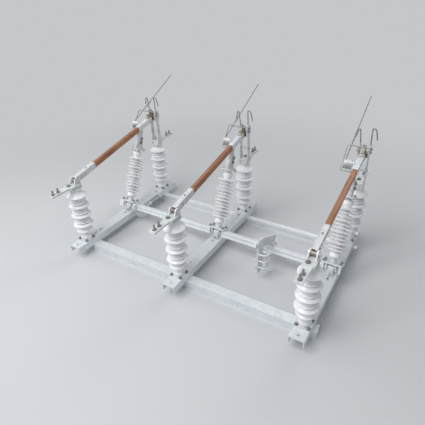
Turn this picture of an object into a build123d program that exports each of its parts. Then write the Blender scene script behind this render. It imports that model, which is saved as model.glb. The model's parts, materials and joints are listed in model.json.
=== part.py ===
"""Three-pole tilting-insulator disconnect switch on its base frame, in millimetres, +Z up.

X runs across the poles along the operating shaft, Y from the hinge end to the jaw end.
The origin is the middle of the near cross member's underside, on the ground plane.
The shaft tips the slim insulators, and the roller on each one lifts a blade.
"""

import math
import os

from build123d import *

# Base frame
pole_pitch = 914.4
pole_names = ("left", "middle", "right")
channel_length = 1288
channel_width = 98
channel_flange = 55
channel_wall = 6
near_member_station = 185
near_member_width = 73
far_member_station = 1116
far_member_width = 42
member_height = 60
member_wall = 5
member_lip = 12
member_overhang = 76

# Stations along a channel, counted from its near end
hinge_post_station = 135
shaft_station = 661
jaw_post_station = 1130
spring_hook_station = 1000
slot_stations = (225, 282, 590, 1030)
side_hole_stations = (611, 964)
side_hole_below_deck = 20

# Post insulators
post_height = 457
post_plate_size = 100
post_plate_thickness = 10
post_foot_radius = 43
post_foot_height = 34
post_core_radius = 44
post_small_shed_radius = 62
post_small_shed_height = 95
post_shed_radius = 75
post_shed_count = 4
post_first_shed = 151
post_last_shed_below_top = 56
post_rib_radius = 58
post_cap_radius = 42
post_cap_height = 24

# Blade and its hinge
hinge_pin_from_post = 15
hinge_pin_above_post = 61
hinge_pin_radius = 8
running_clearance = 0.05
seat_gap = 0.3
blade_slope = 11.5
blade_height = 42
blade_width = 30
blade_wall = 3
blade_corner = 3
blade_slot = 10
blade_start = 26
blade_end = 960
sleeve_wall = 3
sleeve_end = 196
sleeve_hole_along = 110
sleeve_hole_radius = 6
cover_start = 762
cover_end = 948
tip_end = 988
strap_start = 902
strap_width = 26

# Operating shaft and tilting insulators
shaft_above_channel = 46
shaft_section = 50
shaft_wall = 4
shaft_lip = 12
shaft_run_from_pole = 50
shaft_left_from_pole = 98
shaft_right_from_pole = 66
journal_radius = 12
bearing_half_width = 20
bearing_radius = 24
bearing_foot_length = 96
bearing_foot_thickness = 8
cheek_inner = 28
cheek_thickness = 8
cheek_radius = 26
saddle_plate_up = 30
saddle_plate_thickness = 10
saddle_plate_length = 90
saddle_plate_width = 148
tilting_length = 456
tilting_neck_radius = 22
tilting_neck_height = 38
tilting_bell_radius = 37
tilting_bell_height = 36
tilting_core_radius = 25
tilting_shed_radii = (69, 58)
tilting_shed_count = 12
tilting_shed_thickness = 6
tilting_cap_radius = 22
tilting_cap_height = 22
top_plate_thickness = 9
top_plate_length = 110
top_plate_width = 84

# Lift arm and its roller
arm_tongue_thickness = 7
arm_tongue_length = 84
arm_body_thickness = 30
roller_clearance = 0.5
roller_half_length = 10

# Castings on the posts: foot, neck, shoulder and terminal pad, ears and jaw plates
casting_plate = 11
casting_length = 92
neck_width = 58
neck_length = 78
neck_offset = 12
shoulder_width = 72
shoulder_reach = 70
shoulder_back = 30
pad_above_post = 36
pad_reach = 220
pad_width = 50
pad_thickness = 12
pad_hole_pitch = 44.45
pad_hole_radius = 7.1
pad_hole_from_end = 30
ear_thickness = 9
ear_gap = 1
ear_radius = 23
hub_clearance = 5
jaw_plate_inner = 30
jaw_plate_thickness = 6
jaw_plate_above_deck = 778
jaw_contact_gap = 1
jaw_contact_width = 15

# Arcing horns, bent from rod; the apex is the corner before the bend rounds it off
horn_rod_radius = 4
horn_apex_above_plate = 124
horn_lean = 15
horn_flare = 46
horn_hook_drop = 70
horn_bend_radius = 8

# Loop, whip block and whip
loop_rod_radius = 4.5
loop_left = 104
loop_right = 56
loop_far_along = 949
loop_near_along = 808
loop_near_up = -40
loop_bend_radius = 10
loop_lug_up = -7
loop_lug_length = 26
loop_lug_height = 22
loop_lug_depth = 12
whip_radius = 3.5
whip_left = 92
whip_block_along = 816
whip_block_up = 27
whip_block_radius = 16
whip_neck_radius = 12
whip_neck_length = 12
whip_length = 668
whip_rise = 13

# Levers, pipe coupling and counterbalance spring
lever_from_middle = 440
lever_thickness = 10
lever_near = 270
lever_far = 105
lever_top = 90
lever_pin_near = 211
lever_pin_up = 67
lever_pin_radius = 8
clamp_plate_length = 110
clamp_plate_width = 96
clamp_plate_thickness = 8
coupling_width = 85
coupling_above_pin = 31
coupling_below_pin = 244
coupling_thickness = 8
coupling_gap = 1
pipe_radius = 30.2
u_bolt_radius = 5
u_bolt_drops = (70, 126, 182)
hook_lever_from_pole = 99
hook_lever_thickness = 8
hook_lever_reach = 108
hook_lever_drop = 142
hook_lever_back = 64
hook_lever_top = 46
spring_from_pole = 74
spring_above_ground = 95
spring_radius = 15
spring_wire_radius = 2.6
spring_rod_radius = 5
spring_collar_thickness = 5
spring_lug_thickness = 8
spring_length = 140
spring_turns = 8

# Places worked out from the sizes
near_end = -near_member_station
hinge_post_y = near_end + hinge_post_station
jaw_post_y = near_end + jaw_post_station
shaft_y = near_end + shaft_station
far_member_y = near_end + far_member_station
deck_z = member_height + channel_flange
shaft_z = deck_z + shaft_above_channel
post_top_z = deck_z + post_height
casting_z = post_top_z + casting_plate
pad_top_z = post_top_z + pad_above_post
pole_xs = (-pole_pitch, 0, pole_pitch)
member_length = 2 * (pole_pitch + member_overhang)
hinge_y = hinge_post_y + hinge_pin_from_post
hinge_z = post_top_z + hinge_pin_above_post

# The roller runs along the line through the hinge pin, and the arm is as long as the shaft
# is far from that pin, so the blade always turns through half of the shaft's angle.
slope = math.radians(blade_slope)
pin_to_shaft = (shaft_y - hinge_y, shaft_z - hinge_z)
roller_along = 2 * (pin_to_shaft[0] * math.cos(slope) + pin_to_shaft[1] * math.sin(slope))
roller_y = hinge_y + roller_along * math.cos(slope)
roller_z = hinge_z + roller_along * math.sin(slope)
arm_lean = math.atan2(roller_y - shaft_y, roller_z - shaft_z)
arm_reach = math.hypot(roller_y - shaft_y, roller_z - shaft_z)
tilting_start = saddle_plate_up + saddle_plate_thickness
top_plate_up = tilting_start + tilting_length
plate_top = top_plate_up + top_plate_thickness
arm_shoulder = arm_reach - arm_tongue_length
arm_waist = (plate_top + arm_shoulder) / 2
blade_half = blade_width / 2
sleeve_half = blade_half + sleeve_wall
half_height = blade_height / 2
hub_radius = half_height + sleeve_wall
cover_top = half_height + sleeve_wall
roller_radius = half_height - blade_wall - roller_clearance
ear_inner = sleeve_half + ear_gap
half_section = shaft_section / 2

# The whip leaves its block's axis and passes just under the far side of the loop rod.
rise = math.radians(whip_rise)
whip_under_rod = (loop_rod_radius + whip_radius + seat_gap) / math.cos(rise)
loop_far_up = whip_block_up + (loop_far_along - whip_block_along) * math.tan(rise) + whip_under_rod

os.makedirs("parts", exist_ok=True)


def save(piece, name):
    """Labels a finished piece and writes its file."""
    piece.label = name
    export_step(piece, f"parts/{name}.step")


def side_plane(x, y=0.0, z=0.0, turn=0.0):
    """A plane seen from +X, with its x axis along +Y turned up by turn radians."""
    return Plane(origin=(x, y, z), x_dir=(0, math.cos(turn), math.sin(turn)), z_dir=(1, 0, 0))


def blade_plane(x):
    """Blade coordinates: along the blade from the hinge pin, and square to it upwards."""
    return side_plane(x, hinge_y, hinge_z, slope)


def over_blade(x, along):
    """A plane square to the blade's top, on its middle at a distance along it."""
    origin = blade_plane(x).from_local_coords((along, 0, 0))
    return Plane(origin=origin, x_dir=(1, 0, 0), z_dir=(0, -math.sin(slope), math.cos(slope)))


def shaft_plane(x):
    """Shaft coordinates: across the tilting insulator to the far side, and up along it."""
    return side_plane(x, shaft_y, shaft_z, -arm_lean)


def level_plane(x, up):
    """A plane square to the tilting insulator at a height up along its axis."""
    along = (0, math.sin(arm_lean), math.cos(arm_lean))
    origin = (x, shaft_y + up * along[1], shaft_z + up * along[2])
    return Plane(origin=origin, x_dir=(1, 0, 0), z_dir=along)


def lipped_outline(width, height, wall, lip):
    """Section of a strut with lips, open towards the near side."""
    Rectangle(width, height)
    Rectangle(width - 2 * wall, height - 2 * wall, mode=Mode.SUBTRACT)
    with Locations((-width / 2 + wall / 2, 0)):
        Rectangle(wall, height - 2 * lip, mode=Mode.SUBTRACT)


# Base channels with the slots for the posts, bearings and cross members
for pole, pole_x in zip(pole_names, pole_xs):
    with BuildPart() as channel:
        with BuildSketch(Plane.XZ.offset(-near_end)):
            with Locations((pole_x, deck_z - channel_flange / 2)):
                Rectangle(channel_width, channel_flange)
            with Locations((pole_x, deck_z - (channel_flange + channel_wall) / 2)):
                Rectangle(
                    channel_width - 2 * channel_wall,
                    channel_flange - channel_wall,
                    mode=Mode.SUBTRACT,
                )
        extrude(amount=-channel_length)
        with BuildSketch(Plane.XY.offset(deck_z)):
            with Locations((pole_x, near_end + 35)):
                Circle(9)
            for station in slot_stations:
                with Locations((pole_x, near_end + station)):
                    SlotOverall(34, 13, rotation=90)
        extrude(amount=-channel_wall, mode=Mode.SUBTRACT)
        with BuildSketch(Plane.YZ.offset(pole_x + channel_width)):
            for station in side_hole_stations:
                with Locations((near_end + station, deck_z - side_hole_below_deck)):
                    Circle(6)
        extrude(amount=-2 * channel_width, mode=Mode.SUBTRACT)
    save(channel.part, f"base_channel_{pole}")

# Cross members that carry the channels
with BuildPart() as near_member:
    with BuildSketch(Plane.YZ.offset(-member_length / 2)):
        with Locations((0, member_height / 2)):
            Rectangle(near_member_width, member_height)
        with Locations((member_wall, member_height / 2)):
            Rectangle(near_member_width, member_height - 2 * member_wall, mode=Mode.SUBTRACT)
    extrude(amount=member_length)
    with BuildSketch(Plane.XZ.offset(near_member_width / 2)):
        with Locations((0, member_height / 2)):
            with GridLocations(pole_pitch, 0, 2, 1):
                Circle(7)
    extrude(amount=-member_wall, mode=Mode.SUBTRACT)
save(near_member.part, "cross_member_near")

with BuildPart() as far_member:
    with BuildSketch(Plane.YZ.offset(-member_length / 2)):
        with Locations((far_member_y, member_height / 2)):
            lipped_outline(far_member_width, member_height, member_wall, member_lip)
    extrude(amount=member_length)
save(far_member.part, "cross_member_far")


def post_outline():
    """Half outline of a post insulator about its own axis, from the foot to the cap."""
    neck = post_core_radius - 8
    points = [(0, post_plate_thickness), (post_foot_radius, post_plate_thickness)]
    points += [(post_foot_radius, post_foot_height), (neck, post_foot_height + 6)]
    small = post_small_shed_height
    points += [(neck, small - 5), (post_small_shed_radius, small - 5)]
    points += [(post_small_shed_radius, small + 3), (post_core_radius, small + 20)]
    last_shed = post_height - post_last_shed_below_top
    pitch = (last_shed - post_first_shed) / (post_shed_count - 1)
    for place in range(post_shed_count):
        shed = post_first_shed + place * pitch
        points += [(post_core_radius, shed - 7), (post_shed_radius, shed - 7)]
        points += [(post_shed_radius, shed + 3), (post_core_radius, shed + 24)]
        if place < post_shed_count - 1:
            rib = shed + 0.55 * pitch
            points += [(post_core_radius, rib - 3), (post_rib_radius, rib - 3)]
            points += [(post_rib_radius, rib + 4), (post_core_radius, rib + 4)]
    cap_start = post_height - post_cap_height
    points += [(post_core_radius, cap_start - 4), (post_cap_radius, cap_start)]
    points += [(post_cap_radius, post_height), (0, post_height)]
    return points


# Post insulators with their square foot plates
for pole, pole_x in zip(pole_names, pole_xs):
    for end, post_y in (("hinge", hinge_post_y), ("jaw", jaw_post_y)):
        foot = (pole_x, post_y, deck_z)
        with BuildPart() as post:
            with BuildSketch(Plane(origin=foot, x_dir=(1, 0, 0), z_dir=(0, -1, 0))):
                with BuildLine():
                    Polyline(*post_outline(), close=True)
                make_face()
            revolve(axis=Axis(foot, (0, 0, 1)))
            with BuildSketch(Plane.XY.offset(deck_z)):
                with Locations((pole_x, post_y)):
                    RectangleRounded(post_plate_size, post_plate_size, 14)
            extrude(amount=post_plate_thickness)
        save(post.part, f"{end}_insulator_{pole}")


def post_casting(pole_x, post_y, side):
    """Foot, neck, shoulder and two-hole pad on a post, side -1 near or +1 far."""
    with BuildSketch(Plane.XY.offset(post_top_z)) as foot:
        with Locations((pole_x, post_y)):
            RectangleRounded(shoulder_width, casting_length, 10)
    extrude(foot.sketch, amount=casting_plate)
    with BuildSketch(Plane.XY.offset(casting_z)) as neck:
        with Locations((pole_x, post_y + side * neck_offset)):
            RectangleRounded(neck_width, neck_length, 8)
    extrude(neck.sketch, amount=pad_above_post - casting_plate - pad_thickness)
    outer = post_y + side * (pad_reach - pad_hole_from_end)
    with BuildSketch(Plane.XY.offset(pad_top_z)) as pad:
        with Locations((pole_x, post_y + side * pad_reach / 2)):
            Rectangle(pad_width, pad_reach)
        with Locations((pole_x, post_y + side * (shoulder_reach - shoulder_back) / 2)):
            RectangleRounded(shoulder_width, shoulder_reach + shoulder_back, 8)
        with Locations((pole_x, outer), (pole_x, outer - side * pad_hole_pitch)):
            Circle(pad_hole_radius, mode=Mode.SUBTRACT)
    extrude(pad.sketch, amount=-pad_thickness)


# Hinge castings: near pad scooped out for the turning hub, two rounded ears and the pin
for pole, pole_x in zip(pole_names, pole_xs):
    with BuildPart() as hinge_casting:
        post_casting(pole_x, hinge_post_y, -1)
        with BuildSketch(side_plane(pole_x, hinge_y, hinge_z)):
            Circle(hub_radius + hub_clearance)
        extrude(amount=ear_inner, both=True, mode=Mode.SUBTRACT)
        for side in (-1, 1):
            with BuildSketch(side_plane(pole_x + side * (ear_inner + ear_thickness / 2))):
                with BuildLine():
                    Polyline(
                        (hinge_y - 2 * ear_radius, casting_z),
                        (hinge_y + ear_radius + 6, casting_z),
                        (hinge_y + ear_radius - 1, hinge_z + 4),
                        (hinge_y - ear_radius + 1, hinge_z + 4),
                        close=True,
                    )
                make_face()
                with Locations((hinge_y, hinge_z)):
                    Circle(ear_radius)
            extrude(amount=ear_thickness / 2, both=True)
        with BuildSketch(side_plane(pole_x, hinge_y, hinge_z)):
            Circle(hinge_pin_radius)
        extrude(amount=ear_inner + ear_thickness + 4, both=True)
    save(hinge_casting.part, f"hinge_casting_{pole}")

# Jaw castings: far pad and two uprights that end in the contact plates
for pole, pole_x in zip(pole_names, pole_xs):
    with BuildPart() as jaw_casting:
        post_casting(pole_x, jaw_post_y, 1)
        for side in (-1, 1):
            middle = pole_x + side * (jaw_plate_inner + jaw_plate_thickness / 2)
            with BuildSketch(side_plane(middle, jaw_post_y, deck_z)):
                with BuildLine():
                    Polyline(
                        (-34, post_height + casting_plate),
                        (38, post_height + casting_plate),
                        (18, post_height + 90),
                        (14, jaw_plate_above_deck - 84),
                        (34, jaw_plate_above_deck - 64),
                        (14, jaw_plate_above_deck),
                        (-42, jaw_plate_above_deck),
                        (-36, jaw_plate_above_deck - 80),
                        (-22, jaw_plate_above_deck - 94),
                        (-20, post_height + 90),
                        close=True,
                    )
                make_face()
            extrude(amount=jaw_plate_thickness / 2, both=True)
        with BuildSketch(side_plane(pole_x, jaw_post_y, post_top_z + 130)):
            Circle(8)
        extrude(amount=jaw_plate_inner, both=True)
    save(jaw_casting.part, f"jaw_casting_{pole}")

# Contact fingers on the insides of the jaw plates, with room for the blade tip
contact_inner = blade_half + jaw_contact_gap
with BuildPart() as jaw_contacts:
    for pole_x in pole_xs:
        for side in (-1, 1):
            with BuildSketch(blade_plane(pole_x + side * contact_inner)):
                with Locations((tip_end - 10, -7), (tip_end - 10, 10)):
                    Rectangle(34, jaw_contact_width)
            extrude(amount=side * (jaw_plate_inner - contact_inner))
save(jaw_contacts.part, "jaw_contacts")

# Arcing horns, a rod on top of each jaw plate that bends outwards and down
horn_y = jaw_post_y - 12
foot_z = deck_z + jaw_plate_above_deck
apex_z = foot_z + horn_apex_above_plate
with BuildPart() as horns:
    for pole_x in pole_xs:
        for side in (-1, 1):
            foot_x = pole_x + side * (jaw_plate_inner + jaw_plate_thickness / 2)
            foot = (foot_x, horn_y, foot_z)
            with BuildLine() as horn_path:
                FilletPolyline(
                    foot,
                    (foot_x + side * horn_lean, horn_y, apex_z),
                    (foot_x + side * horn_flare, horn_y, apex_z - horn_hook_drop),
                    radius=horn_bend_radius,
                )
            with BuildSketch(Plane.XY.offset(foot_z)):
                with Locations((foot_x, horn_y)):
                    Circle(horn_rod_radius)
            sweep(path=horn_path.wires()[0])
save(horns.part, "arcing_horns")

# Shaft bearings, one bored pillow block on the middle of each channel
with BuildPart() as bearings:
    for pole_x in pole_xs:
        with BuildSketch(side_plane(pole_x)):
            with Locations((shaft_y, deck_z + bearing_foot_thickness / 2)):
                Rectangle(bearing_foot_length, bearing_foot_thickness)
            with Locations((shaft_y, deck_z)):
                Trapezoid(
                    2 * bearing_radius + 14,
                    shaft_above_channel,
                    82,
                    align=(Align.CENTER, Align.MIN),
                )
            with Locations((shaft_y, shaft_z)):
                Circle(bearing_radius)
            with Locations((shaft_y, shaft_z)):
                Circle(journal_radius + running_clearance, mode=Mode.SUBTRACT)
        extrude(amount=bearing_half_width, both=True)
save(bearings.part, "shaft_bearings")

# Operating shaft: lipped struts with end plates between the poles, on round journals
with BuildPart() as shaft:
    runs = (
        (-pole_pitch - shaft_left_from_pole, -pole_pitch - shaft_run_from_pole),
        (-pole_pitch + shaft_run_from_pole, -shaft_run_from_pole),
        (shaft_run_from_pole, pole_pitch - shaft_run_from_pole),
        (pole_pitch + shaft_run_from_pole, pole_pitch + shaft_right_from_pole),
    )
    for start, end in runs:
        with BuildSketch(shaft_plane(start)):
            lipped_outline(shaft_section, shaft_section, shaft_wall, shaft_lip)
        extrude(amount=end - start)
    for pole_x in pole_xs:
        for plate_x in (pole_x - shaft_run_from_pole - shaft_wall, pole_x + shaft_run_from_pole):
            with BuildSketch(shaft_plane(plate_x)):
                Rectangle(shaft_section, shaft_section)
            extrude(amount=shaft_wall)
        with BuildSketch(shaft_plane(pole_x)):
            Circle(journal_radius)
        extrude(amount=shaft_run_from_pole, both=True)
save(shaft.part, "operating_shaft")

# Saddles that carry the tilting insulators on the journals
with BuildPart() as saddles:
    for pole_x in pole_xs:
        with BuildSketch(level_plane(pole_x, saddle_plate_up)):
            RectangleRounded(saddle_plate_width, saddle_plate_length, 10)
        extrude(amount=saddle_plate_thickness)
        for side in (-1, 1):
            middle = pole_x + side * (cheek_inner + cheek_thickness / 2)
            with BuildSketch(shaft_plane(middle)):
                Circle(cheek_radius)
                with BuildLine():
                    Polyline(
                        (-cheek_radius, 0),
                        (cheek_radius, 0),
                        (44, saddle_plate_up),
                        (-44, saddle_plate_up),
                        close=True,
                    )
                make_face()
                Circle(journal_radius, mode=Mode.SUBTRACT)
            extrude(amount=cheek_thickness / 2, both=True)
save(saddles.part, "insulator_saddles")


def tilting_outline():
    """Half outline of the slim insulator, one wide shed to two narrow ones between two bells."""
    neck_top = tilting_neck_height
    bell_top = neck_top + tilting_bell_height
    cap_start = tilting_length - tilting_cap_height
    upper_bell = cap_start - tilting_bell_height
    pitch = (upper_bell - bell_top - 8) / tilting_shed_count
    points = [(0, 0), (tilting_neck_radius, 0), (tilting_neck_radius, neck_top)]
    points += [(tilting_bell_radius, neck_top), (tilting_bell_radius - 4, bell_top)]
    points += [(tilting_core_radius, bell_top)]
    for place in range(tilting_shed_count):
        level = bell_top + 4 + (place + 0.5) * pitch
        tip = tilting_shed_radii[0] if place % 3 == 2 else tilting_shed_radii[1]
        points += [(tilting_core_radius, level), (tip, level)]
        points += [(tilting_core_radius, level + tilting_shed_thickness)]
    points += [(tilting_core_radius, upper_bell), (tilting_bell_radius - 4, upper_bell)]
    points += [(tilting_bell_radius, cap_start), (tilting_cap_radius, cap_start)]
    points += [(tilting_cap_radius, tilting_length), (0, tilting_length)]
    return points


for pole, pole_x in zip(pole_names, pole_xs):
    base = level_plane(pole_x, tilting_start)
    with BuildPart() as tilting:
        with BuildSketch(Plane(origin=base.origin, x_dir=base.x_dir, z_dir=-base.y_dir)):
            with BuildLine():
                Polyline(*tilting_outline(), close=True)
            make_face()
        revolve(axis=Axis(base.origin, base.z_dir))
    save(tilting.part, f"tilting_insulator_{pole}")

# Lift arms: plate on the insulator's top, curved body, thin tongue and the roller
for pole, pole_x in zip(pole_names, pole_xs):
    with BuildPart() as arm:
        with BuildSketch(level_plane(pole_x, top_plate_up)):
            RectangleRounded(top_plate_width, top_plate_length, 8)
        extrude(amount=top_plate_thickness)
        with BuildSketch(shaft_plane(pole_x)):
            with BuildLine():
                near_side = ThreePointArc((-44, plate_top), (-46, arm_waist), (-36, arm_shoulder))
                Line(near_side @ 1, (32, arm_shoulder))
                far_side = ThreePointArc((32, arm_shoulder), (28, arm_waist), (46, plate_top))
                Line(far_side @ 1, near_side @ 0)
            make_face()
        extrude(amount=arm_body_thickness / 2, both=True)
        with BuildSketch(shaft_plane(pole_x)):
            with BuildLine():
                Polyline(
                    (-36, arm_shoulder - 6),
                    (30, arm_shoulder - 6),
                    (26, arm_reach - 36),
                    (12, arm_reach + 8),
                    (-12, arm_reach + 8),
                    (-34, arm_reach - 36),
                    close=True,
                )
            make_face()
        extrude(amount=arm_tongue_thickness / 2, both=True)
        with BuildSketch(shaft_plane(pole_x)):
            with Locations((0, arm_reach)):
                Circle(roller_radius)
        extrude(amount=roller_half_length, both=True)
    save(arm.part, f"lift_arm_{pole}")

# Copper blades, drawn tubes with a slot underneath for the lift arms' tongues
toward_tip = (0, math.cos(slope), math.sin(slope))
for pole, pole_x in zip(pole_names, pole_xs):
    with BuildPart() as bars:
        start = blade_plane(pole_x).from_local_coords((blade_start, 0, 0))
        with BuildSketch(Plane(origin=start, x_dir=(1, 0, 0), z_dir=toward_tip)):
            RectangleRounded(blade_width, blade_height, blade_corner)
            Rectangle(blade_width - 2 * blade_wall, blade_height - 2 * blade_wall, mode=Mode.SUBTRACT)
            with Locations((0, half_height - blade_wall / 2)):
                Rectangle(blade_slot, 2 * blade_wall, mode=Mode.SUBTRACT)
        extrude(amount=blade_end - blade_start)
        with BuildSketch(over_blade(pole_x, sleeve_hole_along)):
            Circle(sleeve_hole_radius)
        extrude(amount=blade_height, mode=Mode.SUBTRACT)
    save(bars.part, f"blade_bars_{pole}")


def hood(pole_x, start, end, depth):
    """Inverted trough over the blade between two distances along it."""
    origin = blade_plane(pole_x).from_local_coords((start, half_height + sleeve_wall - depth / 2, 0))
    with BuildSketch(Plane(origin=origin, x_dir=(1, 0, 0), z_dir=toward_tip)) as section:
        Rectangle(2 * sleeve_half, depth)
        with Locations((0, sleeve_wall)):
            Rectangle(blade_width, depth, mode=Mode.SUBTRACT)
    extrude(section.sketch, amount=end - start)


# Plated sleeves on the hinge ends, with the hub that turns on the pin
for pole, pole_x in zip(pole_names, pole_xs):
    with BuildPart() as sleeve:
        hood(pole_x, 0, sleeve_end, blade_height + sleeve_wall)
        with BuildSketch(blade_plane(pole_x)):
            Circle(hub_radius)
        extrude(amount=sleeve_half, both=True)
        with BuildSketch(blade_plane(pole_x)):
            Circle(hinge_pin_radius + running_clearance)
        extrude(amount=sleeve_half, both=True, mode=Mode.SUBTRACT)
        with BuildSketch(over_blade(pole_x, sleeve_hole_along)):
            Circle(sleeve_hole_radius)
        extrude(amount=blade_height, mode=Mode.SUBTRACT)
    save(sleeve.part, f"blade_sleeve_{pole}")

# Steel covers near the tips
for pole, pole_x in zip(pole_names, pole_xs):
    with BuildPart() as cover:
        hood(pole_x, cover_start, cover_end, blade_height)
    save(cover.part, f"blade_cover_{pole}")

# Brass tip blocks on the blades' ends, with the wedge strap that clamps the loop rod
for pole, pole_x in zip(pole_names, pole_xs):
    with BuildPart() as tip:
        with BuildSketch(blade_plane(pole_x)):
            with Locations(((blade_end + tip_end) / 2, 0)):
                Rectangle(tip_end - blade_end, blade_height)
        extrude(amount=blade_half, both=True)
        with BuildSketch(blade_plane(pole_x)):
            with BuildLine():
                Polyline(
                    (strap_start, cover_top),
                    (cover_end, cover_top),
                    (cover_end, half_height),
                    (tip_end, half_height),
                    (tip_end, loop_far_up - 10),
                    (loop_far_along + 26, loop_far_up + 8),
                    (loop_far_along - 10, loop_far_up + 8),
                    (strap_start, cover_top + 10),
                    close=True,
                )
            make_face()
            with Locations((loop_far_along, loop_far_up)):
                Circle(loop_rod_radius, mode=Mode.SUBTRACT)
        extrude(amount=strap_width / 2, both=True)
    save(tip.part, f"blade_tip_{pole}")

# Bent loop rods, from the tip clamp round to a lug on the cover's left side
lug_left = sleeve_half + loop_lug_depth
for pole, pole_x in zip(pole_names, pole_xs):
    frame = blade_plane(pole_x)
    with BuildPart() as loop:
        with BuildLine() as loop_path:
            FilletPolyline(
                frame.from_local_coords((loop_far_along, loop_far_up, loop_right)),
                frame.from_local_coords((loop_far_along, loop_far_up, -loop_left)),
                frame.from_local_coords((loop_near_along, loop_near_up, -loop_left)),
                frame.from_local_coords((loop_near_along, loop_near_up, -lug_left)),
                frame.from_local_coords((loop_near_along, loop_lug_up, -lug_left)),
                radius=loop_bend_radius,
            )
        with BuildSketch(Plane(origin=loop_path.line @ 0, z_dir=loop_path.line % 0)):
            Circle(loop_rod_radius)
        sweep(path=loop_path.wires()[0])
        with BuildSketch(blade_plane(pole_x - sleeve_half)):
            with Locations((loop_near_along, loop_lug_up)):
                RectangleRounded(loop_lug_length, loop_lug_height, 4)
        extrude(amount=-loop_lug_depth)
    save(loop.part, f"loop_rod_{pole}")

# Whip blocks, necked bushings on the covers' left sides, and the whips they hold
whip_toward = (0, math.cos(slope + rise), math.sin(slope + rise))
for pole, pole_x in zip(pole_names, pole_xs):
    with BuildPart() as whip:
        block_length = whip_left + 5 - sleeve_half
        with BuildSketch(blade_plane(pole_x - sleeve_half)):
            with Locations((whip_block_along, whip_block_up)):
                Circle(whip_neck_radius)
        extrude(amount=-block_length)
        with BuildSketch(blade_plane(pole_x - sleeve_half - whip_neck_length)):
            with Locations((whip_block_along, whip_block_up)):
                Circle(whip_block_radius)
        extrude(amount=whip_neck_length - block_length)
        foot = blade_plane(pole_x).from_local_coords((whip_block_along, whip_block_up, -whip_left))
        with BuildSketch(Plane(origin=foot, z_dir=whip_toward)):
            Circle(whip_radius)
        extrude(amount=whip_length)
    save(whip.part, f"whip_{pole}")

# Operating lever on the shaft, with its clamp plates and the pin for the pipe coupling
with BuildPart() as lever:
    with BuildSketch(shaft_plane(lever_from_middle)):
        with BuildLine():
            Polyline(
                (-lever_near, lever_pin_up - 28),
                (-60, half_section),
                (lever_far - 30, half_section),
                (lever_far, half_section + 16),
                (lever_far, lever_top),
                (-lever_near + 26, lever_top + 6),
                (-lever_near, lever_top - 18),
                close=True,
            )
        make_face()
    extrude(amount=lever_thickness / 2, both=True)
    for level in (half_section, -half_section - clamp_plate_thickness):
        with BuildSketch(level_plane(lever_from_middle, level)):
            RectangleRounded(clamp_plate_width, clamp_plate_length, 8)
        extrude(amount=clamp_plate_thickness)
    with BuildSketch(shaft_plane(lever_from_middle)):
        with Locations((-lever_pin_near, lever_pin_up)):
            Circle(lever_pin_radius)
    extrude(amount=lever_thickness / 2 + coupling_gap + coupling_thickness + 8)
save(lever.part, "operating_lever")

# Coupling plate that hangs from the lever's pin
pin = shaft_plane(0).from_local_coords((-lever_pin_near, lever_pin_up, 0))
coupling_x = lever_from_middle + lever_thickness / 2 + coupling_gap
with BuildPart() as coupling:
    with BuildSketch(side_plane(coupling_x, pin.Y, pin.Z)):
        with Locations((0, (coupling_above_pin - coupling_below_pin) / 2)):
            RectangleRounded(coupling_width, coupling_above_pin + coupling_below_pin, 10)
        Circle(lever_pin_radius + running_clearance, mode=Mode.SUBTRACT)
    extrude(amount=coupling_thickness)
save(coupling.part, "pipe_coupling_plate")

# The three U-bolts for the vertical pipe
u_leg = pipe_radius + u_bolt_radius
u_face_x = coupling_x + coupling_thickness
u_bend_x = u_face_x + pipe_radius
with BuildPart() as u_bolts:
    for drop in u_bolt_drops:
        bolt_z = pin.Z - drop
        with BuildLine() as u_path:
            leg = Line((u_face_x, pin.Y - u_leg, bolt_z), (u_bend_x, pin.Y - u_leg, bolt_z))
            bend = ThreePointArc(
                leg @ 1,
                (u_bend_x + u_leg, pin.Y, bolt_z),
                (u_bend_x, pin.Y + u_leg, bolt_z),
            )
            Line(bend @ 1, (u_face_x, pin.Y + u_leg, bolt_z))
        with BuildSketch(Plane(origin=leg @ 0, z_dir=leg % 0)):
            Circle(u_bolt_radius)
        sweep(path=u_path.wires()[0])
save(u_bolts.part, "pipe_u_bolts")

# Counterbalance lever on the shaft, a plate with a hook notch
hook_lever_x = -pole_pitch + hook_lever_from_pole
with BuildPart() as hook_lever:
    with BuildSketch(side_plane(hook_lever_x, shaft_y, shaft_z)):
        with BuildLine():
            Polyline(
                (6 - hook_lever_back, hook_lever_top - 6),
                (20, hook_lever_top),
                (hook_lever_reach - 50, -18),
                (hook_lever_reach - 42, 50 - hook_lever_drop),
                (hook_lever_reach, 22 - hook_lever_drop),
                (hook_lever_reach - 22, -hook_lever_drop),
                (34, 16 - hook_lever_drop),
                (-20, 50 - hook_lever_drop),
                (-hook_lever_back, 4),
                close=True,
            )
        make_face()
    extrude(amount=hook_lever_thickness / 2, both=True)
    with BuildSketch(shaft_plane(hook_lever_x)):
        Rectangle(shaft_section, shaft_section)
    extrude(amount=hook_lever_thickness, both=True, mode=Mode.SUBTRACT)
save(hook_lever.part, "counterbalance_lever")

# Anchor of the counterbalance spring: a lug on the left channel's flange, its rod and collar
spring_x = -pole_pitch + spring_from_pole
flange_x = -pole_pitch + channel_width / 2
lug_y = near_end + spring_hook_station
lug_width = spring_x + 16 - flange_x
with BuildPart() as anchor:
    with BuildSketch(Plane.XZ.offset(-lug_y)):
        with Locations((flange_x + lug_width / 2, spring_above_ground)):
            Rectangle(lug_width, 34)
    extrude(amount=spring_lug_thickness)
    with BuildSketch(Plane.XZ.offset(-lug_y)):
        with Locations((spring_x, spring_above_ground)):
            Circle(spring_rod_radius)
    extrude(amount=spring_lug_thickness + spring_length + 48)
    with BuildSketch(Plane.XZ.offset(-lug_y + spring_lug_thickness + spring_length)):
        with Locations((spring_x, spring_above_ground)):
            Circle(spring_radius + spring_wire_radius)
    extrude(amount=spring_collar_thickness)
save(anchor.part, "spring_anchor")

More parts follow.
